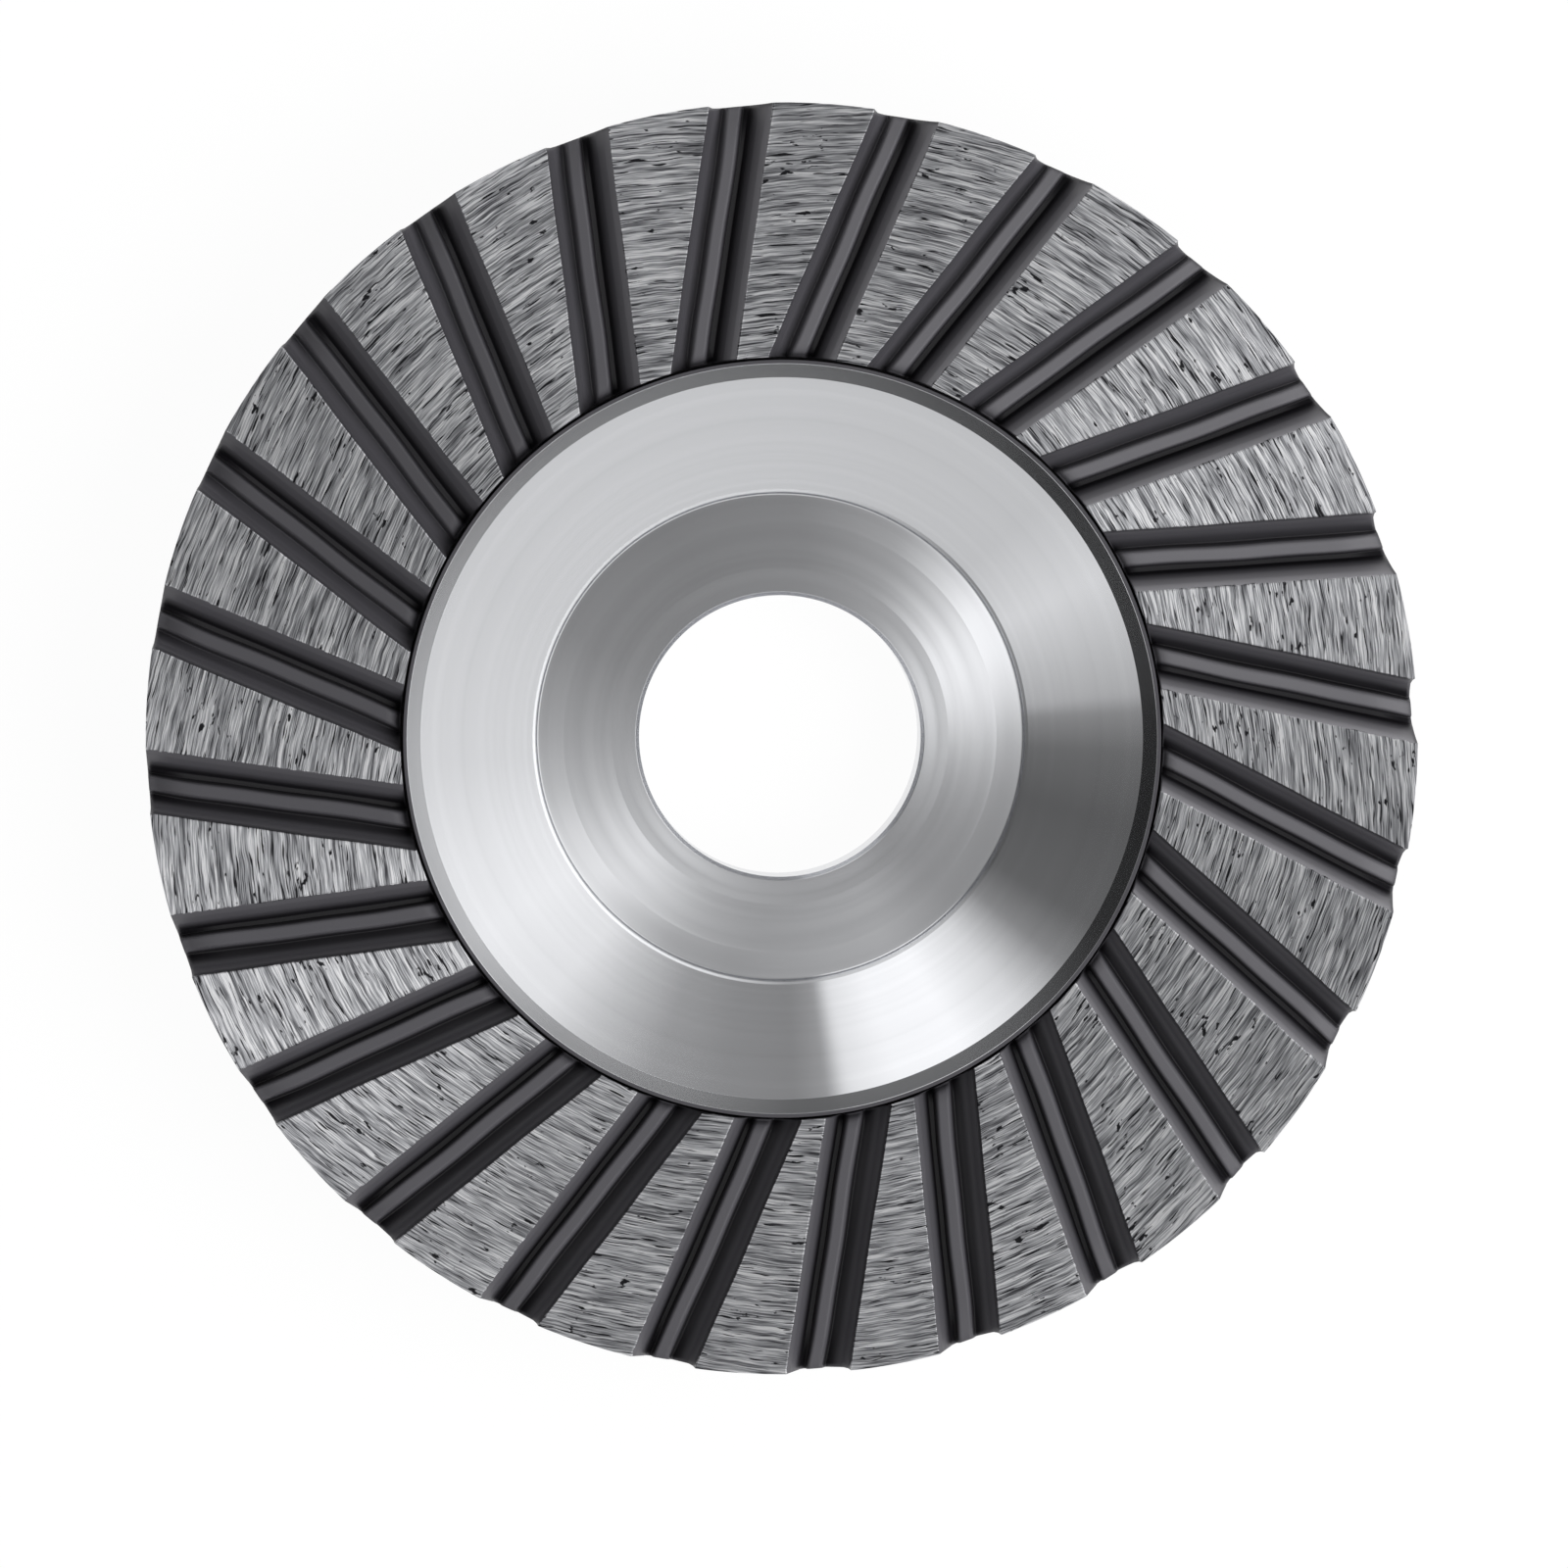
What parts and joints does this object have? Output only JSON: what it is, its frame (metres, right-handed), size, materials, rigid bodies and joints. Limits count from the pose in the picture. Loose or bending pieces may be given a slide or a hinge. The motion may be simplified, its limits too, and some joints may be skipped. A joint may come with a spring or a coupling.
{
  "type": "diamond cup wheel",
  "caption": "Steel cup wheel with a sintered abrasive rim, swept ribbed grooves, a recess for the lock nut and a plain arbor bore.",
  "frame": {"origin": "centre of the bore in the hub's clamping face, which is the wheel's lowest plane", "axes": "+Z along the wheel's axis, from the hub face out through the abrasive face; +X is to the right and +Y is up in the picture"},
  "size_m": [0.1, 0.1, 0.016],
  "materials": {
    "turned_steel": "turned bright steel on the hub, funnel and dish, dark enamel on the collar and the back",
    "sintered_matrix": "sintered metal and grit, dressed bare grey on the lands, dark enamel in the grooves"
  },
  "bodies": {
    "root": {"cup_body": "turned_steel", "abrasive_rim": "sintered_matrix"}
  },
  "joints": []
}
